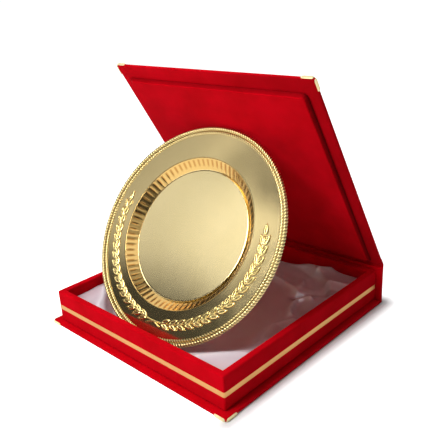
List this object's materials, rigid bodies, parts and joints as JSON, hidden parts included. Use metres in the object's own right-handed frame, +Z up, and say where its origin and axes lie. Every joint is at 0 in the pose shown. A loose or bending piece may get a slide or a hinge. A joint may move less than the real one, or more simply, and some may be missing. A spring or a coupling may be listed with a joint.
{
  "type": "award plaque box",
  "caption": "Velvet presentation box with a book-style hinged lid, satin-lined tray and gold trim, holding a round gold award plate with rope edge, laurel wreath and fluted cove.",
  "frame": {"origin": "underside of the base board, below the middle of the tray", "axes": "+Z up, +Y towards the hinge, +X to the right when the tray's front faces the viewer"},
  "size_m": [0.2292, 0.2265, 0.2335],
  "materials": {
    "velvet": "matte",
    "satin": "satin",
    "wadding": "matte",
    "strip_gold": "satin",
    "corner_brass": "satin",
    "plate_gold": "polished",
    "disc_gold": "satin"
  },
  "bodies": {
    "case": {"base_board": "velvet", "base_corner_left": "corner_brass", "base_corner_right": "corner_brass", "spine_board": "velvet", "hinge_cloth_lid": "velvet", "hinge_cloth_base": "velvet", "tray_front_wall": "velvet", "tray_right_wall": "velvet", "tray_back_wall": "velvet", "tray_left_wall": "velvet", "trim_strip_front": "strip_gold", "trim_strip_right": "strip_gold", "trim_strip_left": "strip_gold", "tray_floor": "velvet", "lining_pad": "wadding", "satin_lining": "satin"},
    "lid": {"lid_board": "velvet", "lid_panel": "velvet", "lid_corner_left": "corner_brass", "lid_corner_right": "corner_brass"},
    "award": {"plate_dish": "plate_gold", "engraving_disc": "disc_gold", "rope_border": "plate_gold", "laurel_wreath": "plate_gold"}
  },
  "joints": [
    {"name": "lid_hinge", "type": "hinge", "parent": "case", "child": "lid", "pos_m": [0, 0.1113, 0.0409], "axis": [-1, 0, 0], "range_deg": [0, 130]},
    {"name": "plate_lay", "type": "hinge", "parent": "case", "child": "award", "pos_m": [0.0049, -0.09346, 0.02288], "axis": [-0.9986, -0.0523, 0], "range_deg": [0, 54.1]}
  ],
  "couplings": [
    {"joint": "plate_lay", "follows": "lid_hinge", "ratio": 0.41611}
  ]
}
